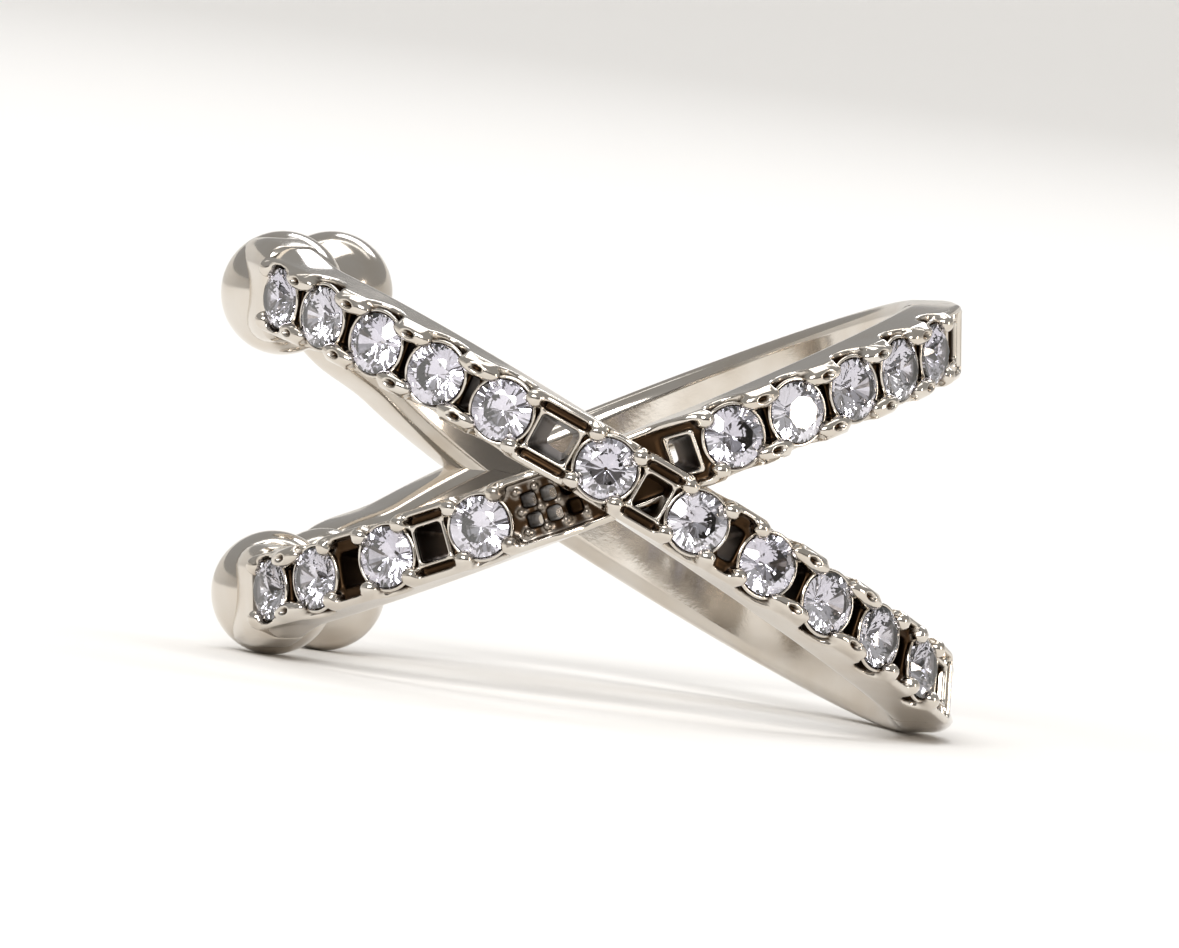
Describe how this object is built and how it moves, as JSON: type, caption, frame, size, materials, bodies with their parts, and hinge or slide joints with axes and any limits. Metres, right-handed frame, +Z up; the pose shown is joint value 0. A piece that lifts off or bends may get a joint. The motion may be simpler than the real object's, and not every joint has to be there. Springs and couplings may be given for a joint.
{
  "type": "ear cuff",
  "caption": "Open ear cuff of two crossing bands set with small round clear stones, with plain back strips and polished ball tips.",
  "frame": {"origin": "middle of the cuff's box, on the floor it lies on", "axes": "+Z up as the cuff lies on its side, near the cuff's own axis; the front crossing faces -Y; the mouth between the ball tips faces -X"},
  "size_m": [0.0136, 0.013, 0.0076],
  "materials": {
    "metal": "polished rhodium-plated silver",
    "stone": "faceted clear cubic zirconia"
  },
  "bodies": {
    "root": {"cuff_frame": "metal", "over_band_stone_01": "stone", "over_band_stone_02": "stone", "over_band_stone_03": "stone", "over_band_stone_04": "stone", "over_band_stone_05": "stone", "over_band_stone_06": "stone", "over_band_stone_07": "stone", "over_band_stone_08": "stone", "over_band_stone_09": "stone", "over_band_stone_10": "stone", "over_band_stone_11": "stone", "under_band_stone_01": "stone", "under_band_stone_02": "stone", "under_band_stone_03": "stone", "under_band_stone_04": "stone", "under_band_stone_05": "stone", "under_band_stone_06": "stone", "under_band_stone_07": "stone", "under_band_stone_08": "stone", "under_band_stone_09": "stone"}
  },
  "joints": []
}
